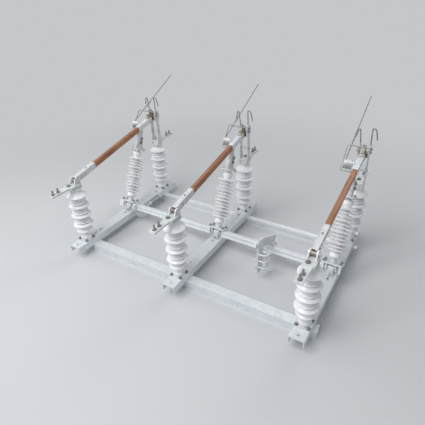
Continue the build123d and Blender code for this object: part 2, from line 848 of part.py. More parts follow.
# Counterbalance spring round the rod, between the lug and the collar
coil_end = spring_wire_radius + seat_gap
coil_length = spring_length - 2 * coil_end
coil_start = (spring_x, lug_y - spring_lug_thickness - coil_end, spring_above_ground)
with BuildPart() as spring:
    with BuildLine() as coil:
        Helix(coil_length / spring_turns, coil_length, spring_radius, coil_start, (0, -1, 0))
    with BuildSketch(Plane(origin=coil.line @ 0, z_dir=coil.line % 0)):
        RegularPolygon(spring_wire_radius, 6)
    sweep(path=coil.wires()[0], is_frenet=True)
save(spring.part, "counterbalance_spring")
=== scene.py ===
# %% [markdown]
# # Dressing a three-pole disconnect switch
#
# The solids of this switch come in already built: channels, posts, tilting insulators,
# blades and levers, each a named node that rides on a moving body. This lesson gives them
# finishes, turns the plain insulators into glazed and moulded ones, and adds the bolts,
# coils and small plates that a workshop drawing leaves out.

# %% Load the frame
import json
import math

import bmesh
import bpy
from mathutils import Matrix, Vector

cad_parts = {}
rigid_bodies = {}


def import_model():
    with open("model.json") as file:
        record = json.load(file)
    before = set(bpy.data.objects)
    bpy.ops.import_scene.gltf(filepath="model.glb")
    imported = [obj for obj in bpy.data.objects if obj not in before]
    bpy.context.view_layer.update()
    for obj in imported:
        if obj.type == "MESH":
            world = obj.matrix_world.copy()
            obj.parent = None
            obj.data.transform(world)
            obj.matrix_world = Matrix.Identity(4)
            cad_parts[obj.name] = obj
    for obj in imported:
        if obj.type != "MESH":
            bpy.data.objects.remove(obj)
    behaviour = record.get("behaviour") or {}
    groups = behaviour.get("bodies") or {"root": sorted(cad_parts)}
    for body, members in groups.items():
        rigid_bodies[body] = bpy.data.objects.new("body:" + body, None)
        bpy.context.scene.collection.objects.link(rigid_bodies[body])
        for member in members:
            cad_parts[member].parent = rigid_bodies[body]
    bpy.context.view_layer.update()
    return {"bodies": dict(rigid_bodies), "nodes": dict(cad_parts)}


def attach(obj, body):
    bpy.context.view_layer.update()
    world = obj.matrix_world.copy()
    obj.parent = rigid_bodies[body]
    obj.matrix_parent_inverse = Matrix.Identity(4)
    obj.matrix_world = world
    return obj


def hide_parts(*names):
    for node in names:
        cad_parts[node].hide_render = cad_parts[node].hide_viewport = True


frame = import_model()
scene = bpy.context.scene

# %% [markdown]
# ## The switch's own sizes
#
# Everything is in metres. The blade turns about its hinge pin and the insulator leans with
# the shaft, so two small helpers turn "along the blade" and "up the insulator" into places.
# The lean isn't typed in: it follows from where the roller meets the blade.

# %% Sizes and places
POLES = {"left": -0.9144, "middle": 0.0, "right": 0.9144}
DECK = 0.115
POST_TOP = DECK + 0.457
PAD_TOP = POST_TOP + 0.036
SADDLE_TOP = 0.040
ARM_PLATE_TOP = 0.505
HINGE_POST_Y, JAW_POST_Y = -0.050, 0.945
HINGE = Vector((0, -0.035, 0.633))
SHAFT = Vector((0, 0.476, 0.161))
SLOPE = math.radians(11.5)
UP, LEFT, RIGHT = Vector((0, 0, 1)), Vector((-1, 0, 0)), Vector((1, 0, 0))
BLADE_DIR = Vector((0, math.cos(SLOPE), math.sin(SLOPE)))
BLADE_UP = Vector((0, -math.sin(SLOPE), math.cos(SLOPE)))
ROLLER = HINGE + BLADE_DIR * (2 * (SHAFT - HINGE).dot(BLADE_DIR))
ARM_UP = (ROLLER - SHAFT).normalized()
ARM_FAR = Vector((0, ARM_UP.z, -ARM_UP.y))
BLADE_TURN = Matrix((BLADE_DIR, BLADE_UP, RIGHT)).transposed().to_4x4()
SHAFT_FRAME = Matrix.Translation(SHAFT) @ Matrix((RIGHT, ARM_FAR, ARM_UP)).transposed().to_4x4()


def on_blade(x, along, up=0.0, across=0.0):
    """A place in blade coordinates, across being along +X from the pole."""
    return HINGE + BLADE_DIR * along + BLADE_UP * up + RIGHT * (x + across)


def on_shaft(x, far, up, across=0.0):
    """A place in shaft coordinates: to the far side of, and up along, the insulator."""
    return SHAFT + ARM_FAR * far + ARM_UP * up + RIGHT * (x + across)


lean = math.degrees(math.atan2(ARM_UP.y, ARM_UP.z))
print(f"lean {lean:.1f} degrees, arm {(ROLLER - SHAFT).length:.3f} m")

# %% [markdown]
# ## Node groups that several finishes share
#
# Galvanised steel, castings and rods all show the same two things at different strengths:
# patches where the zinc has dulled, and the small crystals called spangle. One group gives
# a colour between two tones, a roughness and a height, and each material sets the scale.


# %% Helper for sockets, nodes and links
def add_socket(tree, name, kind, value=None, out=False):
    """One named socket on a group or tree, with its default value."""
    way = "OUTPUT" if out else "INPUT"
    socket = tree.interface.new_socket(name=name, in_out=way, socket_type="NodeSocket" + kind)
    if value is not None:
        socket.default_value = value
    return socket


def put(tree, kind, inputs=None, **settings):
    """A node of that kind; inputs are values or the sockets that feed them."""
    node = tree.nodes.new(kind)
    for key, value in settings.items():
        setattr(node, key, value)
    for key, value in (inputs or {}).items():
        if isinstance(value, bpy.types.NodeSocket):
            tree.links.new(value, node.inputs[key])
        else:
            node.inputs[key].default_value = value
    return node


def blend_colour(tree, factor, first, second):
    """A colour mix node's result."""
    return put(tree, "ShaderNodeMix", {0: factor, 6: first, 7: second}, data_type="RGBA").outputs[2]


def maths(tree, how, first, second):
    """One sum, product or comparison of two values or sockets."""
    return put(tree, "ShaderNodeMath", {0: first, 1: second}, operation=how).outputs[0]


# %% The surface group
surface = bpy.data.node_groups.new("Metal surface", "ShaderNodeTree")
add_socket(surface, "Vector", "Vector")
add_socket(surface, "Light tone", "Color", (0.7, 0.72, 0.74, 1))
add_socket(surface, "Dull tone", "Color", (0.5, 0.52, 0.54, 1))
SCALES = {"Crystal scale": 90.0, "Crystal share": 0.5, "Patch scale": 6.0, "Smoothest": 0.35, "Roughest": 0.6}
for name, value in SCALES.items():
    add_socket(surface, name, "Float", value)
for name, kind in (("Colour", "Color"), ("Roughness", "Float"), ("Height", "Float")):
    add_socket(surface, name, kind, out=True)
given = surface.nodes.new("NodeGroupInput").outputs
place = given["Vector"]
cells = put(surface, "ShaderNodeTexVoronoi", {"Vector": place, "Scale": given["Crystal scale"]})
grey = put(surface, "ShaderNodeSeparateColor", {"Color": cells.outputs["Color"]})
patch_inputs = {"Vector": place, "Scale": given["Patch scale"], "Detail": 6.0, "Roughness": 0.6}
patch = put(surface, "ShaderNodeTexNoise", patch_inputs)
GRAIN_SCALE = 420.0
grain = put(surface, "ShaderNodeTexNoise", {"Vector": place, "Scale": GRAIN_SCALE, "Detail": 3.0})
spread = put(
    surface,
    "ShaderNodeMapRange",
    {"Value": patch.outputs["Fac"], "From Min": 0.36, "From Max": 0.66},
)
mixed = put(
    surface,
    "ShaderNodeMix",
    {0: given["Crystal share"], 2: spread.outputs["Result"], 3: grey.outputs["Red"]},
)
tone = blend_colour(surface, mixed.outputs[0], given["Light tone"], given["Dull tone"])
rough = put(
    surface,
    "ShaderNodeMapRange",
    {"Value": mixed.outputs[0], "To Min": given["Smoothest"], "To Max": given["Roughest"]},
)
bumps = maths(surface, "ADD", grain.outputs["Fac"], mixed.outputs[0])
result = surface.nodes.new("NodeGroupOutput").inputs
surface.links.new(tone, result["Colour"])
surface.links.new(rough.outputs["Result"], result["Roughness"])
surface.links.new(bumps, result["Height"])
print("group sockets:", len(surface.interface.items_tree))

# %% [markdown]
# Outdoor switchgear also gathers a film of dust where faces look upwards. A second group
# turns the surface's own normal and some noise into a mask, and darkens a colour with it.

# %% The dust group
dust = bpy.data.node_groups.new("Settled dust", "ShaderNodeTree")
add_socket(dust, "Vector", "Vector")
add_socket(dust, "Colour", "Color", (0.8, 0.8, 0.8, 1))
add_socket(dust, "Dust tone", "Color", (0.5, 0.47, 0.42, 1))
add_socket(dust, "Amount", "Float", 0.25)
add_socket(dust, "Colour", "Color", out=True)
given = dust.nodes.new("NodeGroupInput").outputs
facing = put(dust, "ShaderNodeNewGeometry")
parts = put(dust, "ShaderNodeSeparateXYZ", {0: facing.outputs["Normal"]})
cloud = put(dust, "ShaderNodeTexNoise", {"Vector": given["Vector"], "Scale": 22.0, "Detail": 5.0})
upwards = put(dust, "ShaderNodeMapRange", {"Value": parts.outputs["Z"], "From Min": -0.2, "From Max": 1.0})
film = maths(dust, "MULTIPLY", upwards.outputs[0], cloud.outputs["Fac"])
share = maths(dust, "MULTIPLY", film, given["Amount"])
result = dust.nodes.new("NodeGroupOutput").inputs
dust.links.new(blend_colour(dust, share, given["Colour"], given["Dust tone"]), result["Colour"])
print("dust group ready")


# %% [markdown]
# ## The finishes
#
# Each finish places the two groups with its own tones. The shader stays in the material,
# and what is the same all over, such as metallic or coat, is typed on the shader itself.


# %% Material maker
def finish_material(name, light, dull, metallic, smooth, rough, **more):
    """A weathered finish: two tones, crystals, patches, dust and a fine bump."""
    material = bpy.data.materials.new(name)
    material.use_nodes = True
    tree = material.node_tree
    shader = tree.nodes["Principled BSDF"]
    place = put(tree, "ShaderNodeTexCoord").outputs["Object"]
    stretch = put(tree, "ShaderNodeMapping", {"Vector": place, "Scale": more.get("stretch", (1, 1, 1))})
    skin_inputs = {
        "Vector": stretch.outputs[0],
        "Light tone": (*light, 1),
        "Dull tone": (*dull, 1),
        "Crystal scale": more.get("crystals", 90.0),
        "Crystal share": more.get("share", 0.4),
        "Patch scale": more.get("patches", 7.0),
        "Smoothest": smooth,
        "Roughest": rough,
    }
    skin = put(tree, "ShaderNodeGroup", skin_inputs, node_tree=surface)
    film_inputs = {
        "Vector": place,
        "Colour": skin.outputs["Colour"],
        "Dust tone": (*more.get("dust_tone", (0.45, 0.43, 0.39)), 1),
        "Amount": more.get("dust", 0.25),
    }
    film = put(tree, "ShaderNodeGroup", film_inputs, node_tree=dust)
    bump_inputs = {
        "Height": skin.outputs["Height"],
        "Strength": more.get("bump", 0.15),
        "Distance": more.get("depth", 0.0006),
    }
    bump = put(tree, "ShaderNodeBump", bump_inputs)
    tree.links.new(film.outputs["Colour"], shader.inputs["Base Color"])
    tree.links.new(skin.outputs["Roughness"], shader.inputs["Roughness"])
    tree.links.new(bump.outputs["Normal"], shader.inputs["Normal"])
    shader.inputs["Metallic"].default_value = metallic
    shader.inputs["Coat Weight"].default_value = more.get("coat", 0.0)
    shader.inputs["Coat Roughness"].default_value = 0.08
    return material


# %% The palette
galvanised = finish_material(
    "Galvanised steel", (0.8, 0.83, 0.85), (0.64, 0.69, 0.72), 0.25, 0.42, 0.62, crystals=110.0, share=0.5,
    patches=16.0, dust=0.2
)
strut = finish_material(
    "Rolled strut", (0.82, 0.84, 0.85), (0.68, 0.71, 0.73), 0.25, 0.42, 0.62, crystals=150.0, share=0.6,
    patches=26.0, dust=0.15
)
casting = finish_material(
    "Galvanised casting", (0.78, 0.8, 0.8), (0.56, 0.59, 0.6), 0.22, 0.48, 0.7, share=0.2, patches=24.0,
    bump=0.5, depth=0.001
)
porcelain = finish_material(
    "Pale glaze", (0.83, 0.83, 0.85), (0.74, 0.74, 0.77), 0.0, 0.3, 0.42, share=0.0, patches=16.0, coat=0.15,
    dust=0.15, bump=0.03, dust_tone=(0.62, 0.58, 0.56)
)
polymer = finish_material(
    "Moulded white sheds", (0.88, 0.88, 0.89), (0.8, 0.8, 0.82), 0.0, 0.5, 0.65, share=0.0, patches=20.0,
    dust=0.12, bump=0.05, dust_tone=(0.6, 0.58, 0.56)
)
# These bolts are painted dark as the shade of the recesses they sit in and the dark surroundings they
# reflect.
painted_shade_bolt = finish_material(
    "Bolts painted dark for shade", (0.34, 0.34, 0.35), (0.15, 0.15, 0.16), 0.5, 0.45, 0.65, share=0.2, patches=60.0
)
copper = finish_material(
    "Drawn copper", (0.46, 0.22, 0.125), (0.26, 0.115, 0.055), 0.4, 0.34, 0.5, crystals=30.0, share=0.15,
    patches=10.0, stretch=(6, 0.5, 2), dust=0.15, dust_tone=(0.3, 0.17, 0.1)
)
plated = finish_material(
    "Plated sleeve", (0.74, 0.75, 0.76), (0.56, 0.57, 0.58), 0.25, 0.4, 0.6, share=0.1, patches=22.0,
    dust=0.12
)
brass = finish_material(
    "Cast brass", (0.44, 0.42, 0.34), (0.27, 0.26, 0.19), 0.4, 0.45, 0.65, share=0.1, patches=40.0, bump=0.35
)
rod_metal = finish_material(
    "Loop rod", (0.4, 0.39, 0.37), (0.26, 0.25, 0.24), 0.5, 0.35, 0.5, share=0.1, patches=30.0, dust=0.05
)
spring_rod = finish_material(
    "Spring rod", (0.36, 0.36, 0.35), (0.22, 0.22, 0.22), 0.6, 0.3, 0.45, share=0.1, patches=30.0, dust=0.05
)
contact = finish_material(
    "Dark contact", (0.34, 0.3, 0.26), (0.16, 0.14, 0.13), 0.6, 0.4, 0.6, share=0.1
)
dark_spring = finish_material(
    "Dark spring", (0.46, 0.46, 0.45), (0.28, 0.28, 0.28), 0.5, 0.35, 0.55, share=0.1
)
fastener = finish_material(
    "Zinc fasteners", (0.7, 0.71, 0.7), (0.42, 0.43, 0.42), 0.7, 0.3, 0.5, share=0.2, patches=60.0
)
print("finishes:", len(bpy.data.materials))

# %% [markdown]
# ## Finishing the solids
#
# Every node that keeps its shape only needs its finish, chosen by its name's first words.

# %% Paint the nodes
FINISHES = {
    galvanised: (
        "base_channel", "cross_member_near", "spring_anchor", "insulator_saddles", "operating_lever",
        "counterbalance_lever", "blade_cover", "pipe_coupling_plate",
    ),
    strut: ("cross_member_far", "operating_shaft"),
    casting: ("hinge_casting", "jaw_casting", "shaft_bearings", "lift_arm"),
    rod_metal: ("arcing_horns", "loop_rod", "whip"),
    porcelain: ("hinge_insulator", "jaw_insulator"),
    polymer: ("tilting_insulator",),
    copper: ("blade_bars",),
    plated: ("blade_sleeve",),
    brass: ("blade_tip",),
    contact: ("jaw_contacts",),
    dark_spring: ("counterbalance_spring",),
    fastener: ("pipe_u_bolts",),
}
for name, node in frame["nodes"].items():
    finish = next(finish for finish, starts in FINISHES.items() if name.startswith(starts))
    node.data.materials.clear()
    node.data.materials.append(finish)
print("painted", len(frame["nodes"]), "nodes")

# %% [markdown]
# ## Turned insulators
#
# A porcelain post is thrown and turned, so it is one outline spun about its axis. The solid
# has flat undersides and plain cones; here the same levels get rounded rims, hollow
# undersides, ribs and soft valleys. Metal shows at both ends and as the square foot plate,
# and the topmost shed is a smooth cone.


# %% Lathe
def spin(mesh_data, outline, segments=56, closed=False, fittings=(-1.0, 9.0)):
    """Adds (radius, height) pairs spun about Z; bands beyond the fittings' heights are metal."""
    rings = []
    for radius, height in outline:
        if radius < 1e-6:
            rings.append([mesh_data.verts.new((0, 0, height))])
            continue
        angles = [2 * math.pi * step / segments for step in range(segments)]
        circle = [(radius * math.cos(angle), radius * math.sin(angle), height) for angle in angles]
        rings.append([mesh_data.verts.new(point) for point in circle])
    pairs = list(zip(rings, rings[1:])) + ([(rings[-1], rings[0])] if closed else [])
    for low, high in pairs:
        middle = (low[0].co.z + high[0].co.z) / 2
        for step in range(segments):
            after = (step + 1) % segments
            corners = [low[step % len(low)], low[after % len(low)]]
            corners += [high[after % len(high)], high[step % len(high)]]
            unique = list(dict.fromkeys(corners))
            if len(unique) > 2:
                face = mesh_data.faces.new(unique)
                face.smooth = True
                face.material_index = 0 if fittings[0] < middle < fittings[1] else 1


# %% Plates
def prism(mesh_data, outline, low, high, index=0):
    """Adds a straight-sided solid between two heights over a flat outline."""
    rings = [[mesh_data.verts.new((x, y, z)) for x, y in outline] for z in (low, high)]
    faces = [mesh_data.faces.new(rings[0]), mesh_data.faces.new(rings[1])]
    for step in range(len(outline)):
        after = (step + 1) % len(outline)
        faces.append(mesh_data.faces.new((rings[0][step], rings[0][after], rings[1][after], rings[1][step])))
    for face in faces:
        face.material_index = index


def rounded_square(half, corner, steps=5):
    """Outline of a square plate with rounded corners."""
    points = []
    for quarter, (sx, sy) in enumerate(((1, 1), (-1, 1), (-1, -1), (1, -1))):
        for step in range(steps + 1):
            angle = math.pi / 2 * (quarter + step / steps)
            across, along = corner * math.cos(angle), corner * math.sin(angle)
            points.append((sx * (half - corner) + across, sy * (half - corner) + along))
    return points


# %% Finished pieces
def linked(name, data):
    """A new object of that data, in the scene."""
    piece = bpy.data.objects.new(name, data)
    scene.collection.objects.link(piece)
    return piece


def made(name, mesh_data, materials, place=None, sharp=42):
    """The finished object of a bmesh: placed, normals outwards, edges kept crisp."""
    bmesh.ops.recalc_face_normals(mesh_data, faces=mesh_data.faces)
    mesh = bpy.data.meshes.new(name)
    mesh_data.to_mesh(mesh)
    mesh_data.free()
    for material in materials:
        mesh.materials.append(material)
    if place is not None:
        mesh.transform(place)
    piece = linked(name, mesh)
    crisp = piece.modifiers.new("Crisp edges", "EDGE_SPLIT")
    crisp.split_angle = math.radians(sharp)
    return piece


def turn_to(foot, axis):
    """Matrix that stands an upright shape on its foot and leans it along the axis."""
    turn = UP.rotation_difference(axis).to_matrix().to_4x4()
    return Matrix.Translation(foot) @ turn


# %% Post outline
def rounded_rim(radius, level, depth, steps=6):
    """Points round a shed's rim, from its underside to its top."""
    points = []
    for step in range(steps + 1):
        angle = -math.pi / 2 + math.pi * step / steps
        points.append((radius - depth + depth * math.cos(angle), level + depth * math.sin(angle)))
    return points


def raised(points, level):
    """The same outline points, moved up to a level."""
    return [(radius, level + height) for radius, height in points]


SHED_COUNT, FIRST_SHED, SHED_PITCH = 4, 0.151, 0.25 / 3
SKIRT = [(0.043, -0.014), (0.046, -0.0095), (0.056, -0.0065), (0.064, -0.007)]
TOP_CONE = [(0.068, 0.0055), (0.060, 0.0105), (0.051, 0.0175), (0.0455, 0.0245), (0.0430, 0.0325)]
SHED_BACK = [(0.067, 0.0065), (0.057, 0.0115), (0.0515, 0.0145), (0.0495, 0.0185), (0.0505, 0.0205)]
VALLEY = [(0.053, 0.0315), (0.0475, 0.0345), (0.046, 0.0385), (0.0465, 0.0405)]
NECK = [(0.049, 0.0505), (0.0445, 0.0535), (0.043, 0.0575)]
LOWER_METAL, UPPER_METAL = 0.037, 0.442
FOOT_HALF, FOOT_CORNER, FOOT_THICKNESS = 0.050, 0.014, 0.010


def post_outline():
    """Outline above a foot plate: a small shed, then wide ones with two ribs between them."""
    points = [(0, 0.009), (0.043, 0.009), (0.043, 0.032), (0.041, 0.0345), (0.036, 0.040), (0.036, 0.082)]
    points += [(0.039, 0.088), (0.048, 0.0885)] + rounded_rim(0.062, 0.0935, 0.0045)
    points += [(0.053, 0.103), (0.047, 0.110), (0.044, 0.117)]
    for place in range(SHED_COUNT):
        level = FIRST_SHED + place * SHED_PITCH
        points += raised(SKIRT, level) + rounded_rim(0.075, level - 0.002, 0.0048)
        if place == SHED_COUNT - 1:
            points += raised(TOP_CONE, level)
            break
        points += raised(SHED_BACK, level) + rounded_rim(0.0615, level + 0.0255, 0.0038, 5)
        points += raised(VALLEY, level) + rounded_rim(0.0565, level + 0.0450, 0.0036, 5)
        points += raised(NECK, level)
    points += [(0.0420, 0.441), (0.0425, 0.443), (0.0425, 0.455), (0.0405, 0.457), (0, 0.457)]
    return points


# %% Posts
for pole, x in POLES.items():
    for end, y in (("hinge", HINGE_POST_Y), ("jaw", JAW_POST_Y)):
        clay = bmesh.new()
        spin(clay, post_outline(), fittings=(LOWER_METAL, UPPER_METAL))
        prism(clay, rounded_square(FOOT_HALF, FOOT_CORNER), 0.0, FOOT_THICKNESS, 1)
        foot = Matrix.Translation((x, y, DECK))
        post = made(f"glazed_post_{end}_{pole}", clay, (porcelain, casting), foot)
        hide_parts(f"{end}_insulator_{pole}")
        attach(post, "base")
print("posts:", 2 * len(POLES), "of", len(post.data.polygons), "faces")

# %% [markdown]
# The tilting insulators are slimmer, with thin moulded sheds: one wide to two narrow. Thin
# sheds that repeat at one pitch are a job for Geometry Nodes: one tree stands the shed that
# it is given on every point of a line and shrinks those that aren't every third one.


# %% Start and end of a tree
def start_tree(name, sizes, whole):
    """A new tree with its named inputs; gives the tree and the sockets that feed it."""
    tree = bpy.data.node_groups.new(name, "GeometryNodeTree")
    add_socket(tree, "Geometry", "Geometry")
    for key, value in sizes.items():
        add_socket(tree, key, "Float", value)
    for key, value in whole.items():
        add_socket(tree, key, "Int", value)
    add_socket(tree, "Material", "Material")
    add_socket(tree, "Geometry", "Geometry", out=True)
    return tree, tree.nodes.new("NodeGroupInput").outputs


def finish_tree(tree, shape, material):
    """Ends a tree: instances are made real, the material is set and the result goes out."""
    real = put(tree, "GeometryNodeRealizeInstances", {"Geometry": shape})
    paint = put(tree, "GeometryNodeSetMaterial", {"Geometry": real.outputs[0], "Material": material})
    tree.links.new(paint.outputs[0], tree.nodes.new("NodeGroupOutput").inputs[0])


# %% Shed stack tree
SHED_SIZES = {"First level": 0.091, "Pitch": 0.02633, "Narrow share": 0.84}
stack, given = start_tree("Shed stack", SHED_SIZES, {"Count": 12})
start = put(stack, "ShaderNodeCombineXYZ", {"Z": given["First level"]})
step = put(stack, "ShaderNodeCombineXYZ", {"Z": given["Pitch"]})
line = put(
    stack,
    "GeometryNodeMeshLine",
    {"Count": given["Count"], "Start Location": start.outputs[0], "Offset": step.outputs[0]},
)
order = put(stack, "GeometryNodeInputIndex")
wide = maths(stack, "GREATER_THAN", maths(stack, "MODULO", order.outputs[0], 3.0), 1.5)
size = put(stack, "ShaderNodeMix", {0: wide, 2: given["Narrow share"], 3: 1.0})
grow = put(stack, "ShaderNodeCombineXYZ", {"X": size.outputs[0], "Y": size.outputs[0], "Z": 1.0})
many = put(
    stack,
    "GeometryNodeInstanceOnPoints",
    {"Points": line.outputs["Mesh"], "Instance": given["Geometry"], "Scale": grow.outputs[0]},
)
finish_tree(stack, many.outputs[0], given["Material"])
print("shed tree has", len(stack.nodes), "nodes")


# %% [markdown]
# A modifier's inputs are set by their identifiers, so one helper looks each name up. The
# evaluated result then becomes a plain mesh, turned into place, and the modifier goes.


# %% Run a tree and bake it
def baked(piece, tree, values, place=None):
    """The piece's mesh after the tree, moved by a matrix, with no modifier left on it."""
    piece.modifiers.clear()
    modifier = piece.modifiers.new(tree.name, "NODES")
    modifier.node_group = tree
    for item in tree.interface.items_tree:
        if item.in_out == "INPUT" and item.name in values:
            modifier[item.identifier] = values[item.name]
    piece.update_tag()
    graph = bpy.context.evaluated_depsgraph_get()
    mesh = bpy.data.meshes.new_from_object(piece.evaluated_get(graph), depsgraph=graph)
    piece.modifiers.clear()
    piece.data = mesh
    if place is not None:
        mesh.transform(place)
    return piece


# %% Tilting insulators
SHED = [(0.0235, -0.0065), (0.034, -0.0050), (0.052, -0.0038), (0.0655, -0.0042), (0.0684, -0.0030)]
SHED += [(0.0690, -0.0008), (0.0684, 0.0012), (0.060, 0.0026), (0.044, 0.0042), (0.033, 0.0062)]
SHED += [(0.0262, 0.0095), (0.0235, 0.0100)]
CORE = [(0, 0), (0.022, 0), (0.022, 0.036), (0.035, 0.0375), (0.037, 0.0395), (0.0368, 0.048)]
CORE += [(0.0345, 0.062), (0.031, 0.0715), (0.027, 0.074), (0.0250, 0.076), (0.0250, 0.396), (0.027, 0.398)]
CORE += [(0.031, 0.4005), (0.0345, 0.410), (0.0368, 0.424), (0.037, 0.4325), (0.035, 0.434)]
CORE += [(0.022, 0.4355), (0.022, 0.456), (0, 0.456)]
LOWER_BELL, UPPER_BELL, SLIM_FACETS = 0.037, 0.435, 52
for pole, x in POLES.items():
    clay = bmesh.new()
    spin(clay, SHED, SLIM_FACETS, closed=True)
    sheds = baked(made("sheds", clay, (polymer,)), stack, {"Material": polymer})
    clay = bmesh.new()
    clay.from_mesh(sheds.data)
    spin(clay, CORE, SLIM_FACETS, fittings=(LOWER_BELL, UPPER_BELL))
    bpy.data.objects.remove(sheds)
    upright = turn_to(on_shaft(x, 0, SADDLE_TOP), ARM_UP)
    piece = made(f"moulded_insulator_{pole}", clay, (polymer, casting), upright, 60)
    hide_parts(f"tilting_insulator_{pole}")
    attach(piece, "shaft")
print("tilting insulators:", len(POLES), "of", len(piece.data.polygons), "faces")

# %% [markdown]
# ## Coils
#
# Two kinds of spring show: the long counterbalance spring beside the left channel, and a
# short one on a stud under each whip's bushing. A spiral curve with a round profile makes
# both, so the tree takes turns, radius, length and wire as inputs.

# %% Coil tree
COIL_SIZES = {"Turns": 8.0, "Radius": 0.015, "Length": 0.134, "Wire radius": 0.0026}
coil, given = start_tree("Wire coil", COIL_SIZES, {})
spiral = put(
    coil,
    "GeometryNodeCurveSpiral",
    {
        "Resolution": 22,
        "Rotations": given["Turns"],
        "Start Radius": given["Radius"],
        "End Radius": given["Radius"],
        "Height": given["Length"],
    },
)
section = put(coil, "GeometryNodeCurvePrimitiveCircle", {"Resolution": 10, "Radius": given["Wire radius"]})
wire = put(
    coil,
    "GeometryNodeCurveToMesh",
    {"Curve": spiral.outputs[0], "Profile Curve": section.outputs[0], "Fill Caps": True},
)
smooth = put(coil, "GeometryNodeSetShadeSmooth", {"Geometry": wire.outputs[0]})
finish_tree(coil, smooth.outputs[0], given["Material"])
print("coil tree has", len(coil.nodes), "nodes")


def coil_piece(name, foot, axis, body, **sizes):
    """One coil that starts at foot and runs along axis, riding on a body."""
    empty = bpy.data.meshes.new(name)
    empty.from_pydata([(0, 0, 0)], [], [])
    piece = linked(name, empty)
    values = {"Material": dark_spring}
    values.update({key.replace("_", " ").capitalize(): value for key, value in sizes.items()})
    baked(piece, coil, values, turn_to(Vector(foot), Vector(axis)))
    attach(piece, body)
    return piece


# %% Springs
SPRING_X, SPRING_Z, SPRING_START_Y = POLES["left"] + 0.074, 0.095, 0.815 - 0.0109
STUD_ALONG, STUD_UP = 0.808, -0.007
STUD = [(0, -0.004), (0.0045, -0.004), (0.0045, 0.052), (0.013, 0.052), (0.013, 0.0545), (0, 0.0545)]
spring = coil_piece(
    "counterbalance_coil", (SPRING_X, SPRING_START_Y, SPRING_Z), (0, -1, 0), "base",
    turns=8.0, radius=0.0146, length=0.1342, wire_radius=0.0030
)
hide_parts("counterbalance_spring")
for pole, x in POLES.items():
    coil_piece(
        f"whip_spring_{pole}", on_blade(x, STUD_ALONG, STUD_UP, -0.034), LEFT, "blade_" + pole,
        turns=7.0, radius=0.0105, length=0.046, wire_radius=0.0021
    )
    clay = bmesh.new()
    spin(clay, STUD, 24)
    stud_place = turn_to(on_blade(x, STUD_ALONG, STUD_UP, -0.031), LEFT)
    stud = made(f"whip_stud_{pole}", clay, (rod_metal,), stud_place)
    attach(stud, "blade_" + pole)
print("coils:", 1 + len(POLES), "the long one has", len(spring.data.polygons), "faces")

# %% [markdown]
# ## Bent rods
#
# Horns, loops and whips are all round rod, bent cold over a pin. A chain of corner points
# is enough to describe one: the tree rounds each corner and sweeps a circle along. The solids
# hold the same rods with tighter bends, and these take their places.

# %% Rod tree
rods, given = start_tree("Bent rod", {"Bend radius": 0.012, "Rod radius": 0.0045}, {})
chain = put(rods, "GeometryNodeMeshToCurve", {"Mesh": given["Geometry"]})
rounded = put(
    rods,
    "GeometryNodeFilletCurve",
    {"Curve": chain.outputs[0], "Count": 7, "Radius": given["Bend radius"], "Limit Radius": True},
    mode="POLY",
)
section = put(rods, "GeometryNodeCurvePrimitiveCircle", {"Resolution": 14, "Radius": given["Rod radius"]})
swept = put(
    rods,
    "GeometryNodeCurveToMesh",
    {"Curve": rounded.outputs[0], "Profile Curve": section.outputs[0], "Fill Caps": True},
)
smooth = put(rods, "GeometryNodeSetShadeSmooth", {"Geometry": swept.outputs[0]})
finish_tree(rods, smooth.outputs[0], given["Material"])
print("rod tree has", len(rods.nodes), "nodes")


def rod_piece(name, chains, body, bend, radius, finish=rod_metal):
    """Rods of one radius along chains of corner points, as one piece on a body."""
    points, edges = [], []
    for corners in chains:
        first = len(points)
        points += [tuple(corner) for corner in corners]
        edges += [(n, n + 1) for n in range(first, len(points) - 1)]
    mesh = bpy.data.meshes.new(name)
    mesh.from_pydata(points, edges, [])
    piece = linked(name, mesh)
    baked(piece, rods, {"Bend radius": bend, "Rod radius": radius, "Material": finish})
    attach(piece, body)
    return piece


# %% [markdown]
# The arcing horns of a jaw aren't quite a mirrored pair: hand-bent rods lean a little, and
# the photographed ones lean to the left. Each is given by its steps from its foot, and the
# left one ends short of the whip's path.

# %% Horns
HORN_Y, HORN_FOOT_Z, HORN_FOOT_X, HORN_BEND, HORN_RADIUS = 0.933, 0.893, 0.033, 0.012, 0.0044
HORN_STEPS = {
    -1: ((0, 0), (-0.014, 0.098), (-0.024, 0.114), (-0.037, 0.046)),
    1: ((0, 0), (-0.004, 0.110), (0.006, 0.122), (0.022, 0.104), (0.036, 0.042)),
}
horn_chains = [
    [(x + side * HORN_FOOT_X + across, HORN_Y, HORN_FOOT_Z + up) for across, up in steps]
    for x in POLES.values()
    for side, steps in HORN_STEPS.items()
]
horns = rod_piece("bent_horns", horn_chains, "base", HORN_BEND, HORN_RADIUS, spring_rod)
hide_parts("arcing_horns")
print("horns:", len(horn_chains), "rods of", len(horns.data.polygons), "faces")

# %% [markdown]
# A loop rod lies across the tip's strap, comes back down beside the whip and ends in a lug
# on the cover. The whip is thin rod that starts in a pale bushing, passes under the loop,
# and carries a thicker ferrule where it would touch the horn.

# %% Loops and whips
WHIP_RISE, WHIP_LEAN, WHIP_LENGTH = math.radians(13), 0.011, 0.668
WHIP_ALONG, WHIP_UP, WHIP_ACROSS = 0.816, 0.027, -0.081
LOOP_BEND, LOOP_RADIUS, WHIP_RADIUS, FERRULE_RADIUS = 0.012, 0.0045, 0.0035, 0.0058
FERRULE_SPAN = (0.203, 0.283)
LOOP_CORNERS = [(0.941, 0.0792, 0.046), (0.941, 0.0792, -0.104), (STUD_ALONG, -0.040, -0.104)]
LOOP_CORNERS += [(STUD_ALONG, -0.040, -0.026), (STUD_ALONG, -0.008, -0.026)]
LUG_INNER, LUG_OUTER, LUG_SHARE = -0.030, -0.018, 0.85
BUSHING = [(0, 0), (0.012, 0), (0.012, 0.012), (0.0155, 0.0125), (0.0167, 0.0150), (0.0167, 0.0610)]
BUSHING += [(0.0150, 0.0650), (0.006, 0.0655), (0, 0.0655)]


